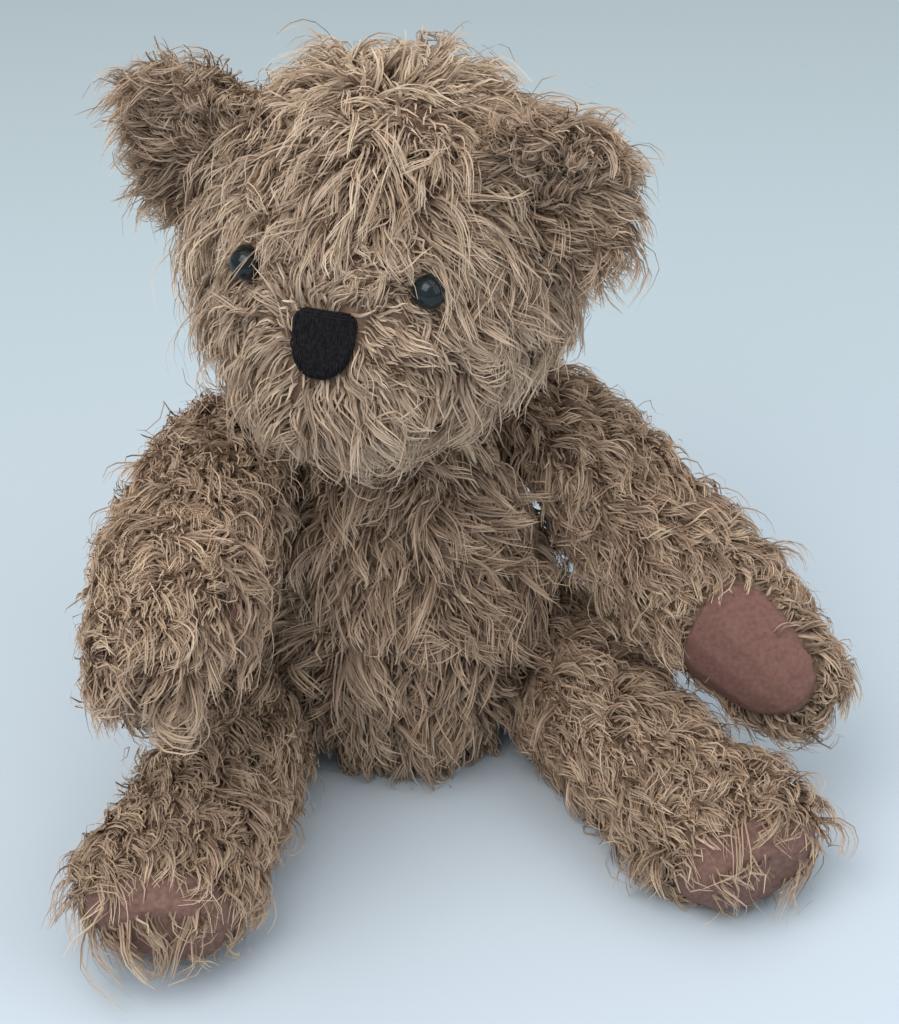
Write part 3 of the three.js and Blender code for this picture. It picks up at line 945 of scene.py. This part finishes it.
def hairs(name, locks, per_lock, width, steps, share=1.0):
    """Locks of pile over one skin, as hair centre lines, widths and a shade for each hair."""
    place, normal = scattered(*skins[name], locks)
    way, length, lift, keep = comb(name, place, normal)
    place, normal, way, length, lift = (v[keep] for v in (place, normal, way, length, lift))
    count = len(place)

    # Each lock
    length = length * share * rng.uniform(0.72, 1.2, count)
    length = length * np.where(rng.random(count) < 0.2, 1.22, 1)
    lift = lift * rng.uniform(0.6, 1.35, count)
    gather = np.zeros_like(place)
    tuft_tone = np.zeros(count)
    if per_lock > 1:
        way, lift, gather, tuft_tone = tufted(place, normal, way, lift)
    side = np.cross(normal, way)
    most_curl, most_waves = (0.2, 1.3) if name in LIMBS else (0.15, 1.1)
    curl = rng.uniform(0.04, most_curl, count) * rng.choice([-1, 1], count)
    waves = rng.uniform(0.45, most_waves, count) * 2 * math.pi
    phase = rng.uniform(0, 2 * math.pi, count)
    pale = rng.random(count) < 0.13
    shade = np.where(pale, rng.uniform(0.7, 0.95, count), rng.uniform(0.05, 0.55, count))
    clump = rng.uniform(0.7, 0.97, count)

    # Each hair of a lock
    lock = np.repeat(np.arange(count), per_lock)
    total = len(lock)
    loose = rng.random(total) < 0.1
    radius = np.sqrt(rng.random(total)) * LOCK_RADIUS
    turn = rng.uniform(0, 2 * math.pi, total)
    offset = way[lock] * np.cos(turn)[:, None] + side[lock] * np.sin(turn)[:, None]
    offset = offset * radius[:, None]
    own = length[lock] * rng.uniform(0.75, 1.12, total) * np.where(loose, 1.15, 1)
    rise = np.where(loose, rng.uniform(1.0, 1.5, total), rng.uniform(0.85, 1.15, total))
    rise = lift[lock] * rise
    pull = np.where(loose, 0.1, clump[lock])
    sway = (curl[lock] * np.where(loose, 1.3, 1) * rng.uniform(0.8, 1.2, total))[:, None]
    start = (phase[lock] + rng.normal(0, 0.35, total))[:, None]
    beat = waves[lock][:, None] * steps + start

    # Along each hair, as parts of its length: up from the skin, along the way, and to the side
    wave = (np.sin(beat) - np.sin(start)) * sway
    dip = (np.cos(beat) - np.cos(start)) * sway
    up = rise[:, None] * (steps - 0.5 * steps**2) + dip * 0.6
    up = up - own[:, None] * steps**2 / (2 * DROOP_LENGTH)
    run = 0.7 * steps + 0.18 * steps**2
    bend = (
        normal[lock][:, None] * up[:, :, None]
        + way[lock][:, None] * run[:, None]
        + side[lock][:, None] * wave[:, :, None]
    )
    s = steps[:, None]
    line = place[lock][:, None] + offset[:, None] * (1 - pull[:, None, None] * s**0.7)
    line = line + own[:, None, None] * bend + gather[lock][:, None] * s**1.5
    line[:, :, 2] -= own[:, None] * SAG * steps**2
    line[:, :, 2] = np.maximum(line[:, :, 2], ROOM + rng.uniform(0, 0.5 * MM, total)[:, None])

    tone = np.clip((shade + tuft_tone)[lock] + rng.normal(0, 0.1, total), 0.02, 0.98)
    thick = width * rng.uniform(0.75, 1.25, total)
    line = within(line)
    clear = ~pierced(name, line)
    return line[clear], thick[clear], tone[clear]


def ribbon_points(path, wide, steps):
    """Both edges of a tapered ribbon along each path, facing a random way."""
    along = np.gradient(path, axis=1)
    random_way = unit(rng.normal(size=(len(path), 1, 3)))
    taper = (1.0 - 0.8 * steps**1.6)[None, :, None]
    half = unit(np.cross(along, random_way)) * wide[:, None, None] * 0.5 * taper
    points = np.stack([path - half, path + half], 2).reshape(-1, 3)
    points[:, 2] = np.maximum(points[:, 2], LEAST_HEIGHT)
    return points


def ribbon_quads(count, levels):
    base = (np.arange(count) * levels * 2)[:, None]
    k = np.arange(levels - 1)[None, :] * 2
    return np.stack([base + k, base + k + 1, base + k + 3, base + k + 2], 2).reshape(-1, 4)


def ribbon_map(shade, steps):
    """Each hair's place on its map: its shade across, and from root to tip along."""
    v = np.clip(steps, 0.01, 0.99)
    u = np.repeat(shade * 0.98 + 0.01, len(steps) - 1).reshape(len(shade), -1)
    low, high = np.tile(v[:-1], (len(shade), 1)), np.tile(v[1:], (len(shade), 1))
    left, right = u - SHADE_EDGE, u + SHADE_EDGE
    corners = [(left, low), (right, low), (right, high), (left, high)]
    return np.stack([np.stack(corner, 2) for corner in corners], 2).reshape(-1, 2)


def lay_hairs(name, body, material, steps, line, thick, tone):
    """Turns hair centre lines into tapered ribbons, in pieces of a modest size."""
    levels = len(steps)
    parts = math.ceil(len(line) * 2 * (levels - 1) / MOST_TRIANGLES)
    order = np.argsort(line[:, 0, 2], kind="stable")
    for part, chosen in enumerate(np.array_split(order, parts)):
        points = ribbon_points(line[chosen], thick[chosen], steps)
        quads = ribbon_quads(len(chosen), levels)
        label = f"{name}_{part + 1}" if parts > 1 else name
        mesh = bpy.data.meshes.new(label)
        mesh.vertices.add(len(points))
        mesh.vertices.foreach_set("co", points.astype(np.float32).ravel())
        mesh.loops.add(len(quads) * 4)
        mesh.loops.foreach_set("vertex_index", quads.astype(np.int32).ravel())
        mesh.polygons.add(len(quads))
        mesh.polygons.foreach_set("loop_start", np.arange(0, len(quads) * 4, 4, dtype=np.int32))
        mesh.polygons.foreach_set("use_smooth", np.ones(len(quads), bool))
        uv = ribbon_map(tone[chosen], steps).astype(np.float32)
        mesh.uv_layers.new(name="OFBake").data.foreach_set("uv", uv.ravel())
        mesh.update(calc_edges=True)
        made = link_mesh(label, mesh, material)
        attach(made, body)


LOCKS = {
    "torso": 1800,
    "head": 2500,
    "left_ear": 650,
    "right_ear": 650,
    "left_arm": 1450,
    "right_arm": 1450,
    "left_leg": 1600,
    "right_leg": 1600,
}
PER_LOCK = 12
HAIR_WIDTH = 0.64 * MM
UNDERCOAT_HAIRS = 5
UNDERCOAT_WIDTH = HAIR_WIDTH * 1.7
UNDERCOAT_SHARE = 0.5
for name, locks in LOCKS.items():
    material = EAR_PILE if name.endswith("_ear") else HEAD_PILE_TONE_AND_LIGHT if name == "head" else BODY_PILE_TONE_AND_SHADE
    body = body_under(name)
    pile = hairs(name, locks, PER_LOCK, HAIR_WIDTH, LONG)
    lay_hairs(f"{name}_pile", body, material, LONG, *pile)
    under = hairs(name, locks * UNDERCOAT_HAIRS, 1, UNDERCOAT_WIDTH, SHORT, UNDERCOAT_SHARE)
    lay_hairs(f"{name}_undercoat", body, material, SHORT, *under)


# ---------------------------------------------------------------- carried-over nodes
for name, node in nodes.items():
    if node.hide_render:
        continue
    node.data.materials.clear()
    node.data.materials.append(FIBRE if "stuffing" in name else PLASTIC)

bpy.context.view_layer.update()
